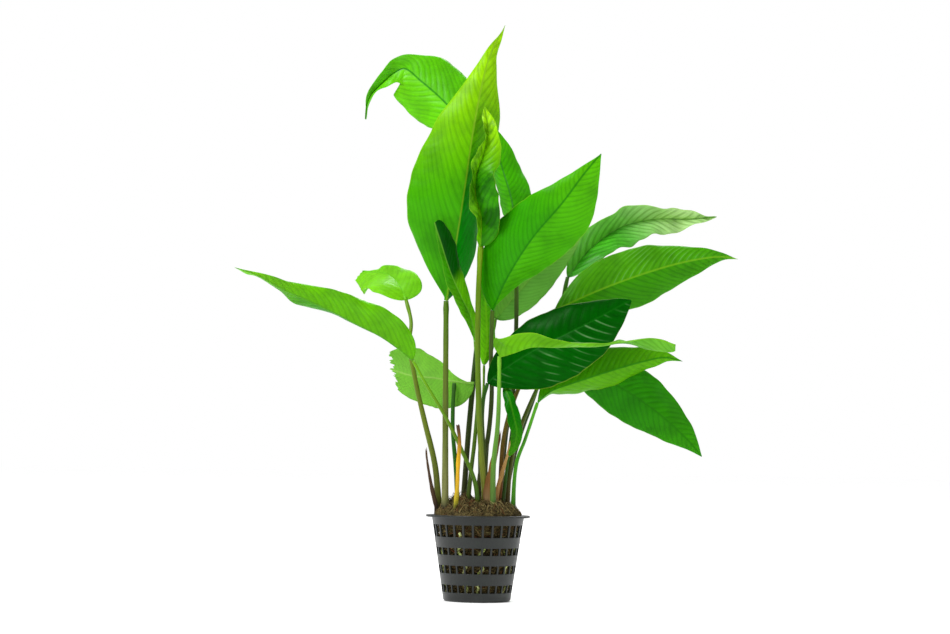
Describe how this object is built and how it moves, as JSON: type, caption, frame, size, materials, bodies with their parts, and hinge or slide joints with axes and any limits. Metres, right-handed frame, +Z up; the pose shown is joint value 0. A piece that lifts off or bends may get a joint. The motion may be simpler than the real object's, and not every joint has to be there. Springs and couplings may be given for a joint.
{
  "type": "potted anubias",
  "caption": "Aquarium plant with long-stemmed lance-shaped leaves in a small round net pot of dark plastic filled with brown wool.",
  "frame": {"origin": "centre of the pot's underside, on the surface that it stands on", "axes": "+Z up along the pot's axis; -Y is the plant's front, +X to its right"},
  "size_m": [0.2706, 0.135, 0.3121],
  "materials": {
    "net_pot": "moulded dark grey polypropylene, satin",
    "wool": null,
    "rhizome": "fleshy green-brown rootstock",
    "root": "pale yellow-green living roots",
    "leaf": "fresh green leaf, satin, sunken side veins, light midrib",
    "leaf_underside": "paler leaf seen from below, matt",
    "stem": "smooth olive-green leaf stalk, browner at its foot",
    "dead_stalk": "yellow dying stalk with a brown dry tip",
    "dry_sheath": "dry papery brown sheath"
  },
  "bodies": {
    "root": {"dead_stalk": "dead_stalk", "dry_sheath_brown": "dry_sheath", "dry_sheath_tan": "dry_sheath", "leaf_behind_young": "leaf", "leaf_broad_right": "leaf", "leaf_broad_top_right": "leaf", "leaf_dark_mid": "leaf", "leaf_edge_on": "leaf", "leaf_hanging_twist": "leaf", "leaf_long_left": "leaf", "leaf_low_right": "leaf", "leaf_lowest_right": "leaf", "leaf_pale_left": "leaf", "leaf_pale_under": "leaf_underside", "leaf_slim_front": "leaf", "leaf_small_back": "leaf", "leaf_tall_front": "leaf", "leaf_top_left": "leaf", "leaf_torn_left": "leaf_underside", "leaf_wavy_top_right": "leaf", "leaf_young_curled": "leaf", "net_pot": "net_pot", "old_sheath_dark": "dry_sheath", "rhizome": "rhizome", "root_1": "root", "root_2": "root", "root_3": "root", "root_4": "root", "root_5": "root", "root_6": "root", "root_7": "root", "root_8": "root", "root_9": "root", "stem_behind_young": "stem", "stem_broad_right": "stem", "stem_broad_top_right": "stem", "stem_dark_mid": "stem", "stem_edge_on": "stem", "stem_hanging_twist": "stem", "stem_long_left": "stem", "stem_low_right": "stem", "stem_lowest_right": "stem", "stem_pale_left": "stem", "stem_pale_under": "stem", "stem_slim_front": "stem", "stem_small_back": "stem", "stem_tall_front": "stem", "stem_top_left": "stem", "stem_torn_left": "stem", "stem_wavy_top_right": "stem", "stem_young_curled": "stem", "wool_plug": "wool"}
  },
  "joints": []
}
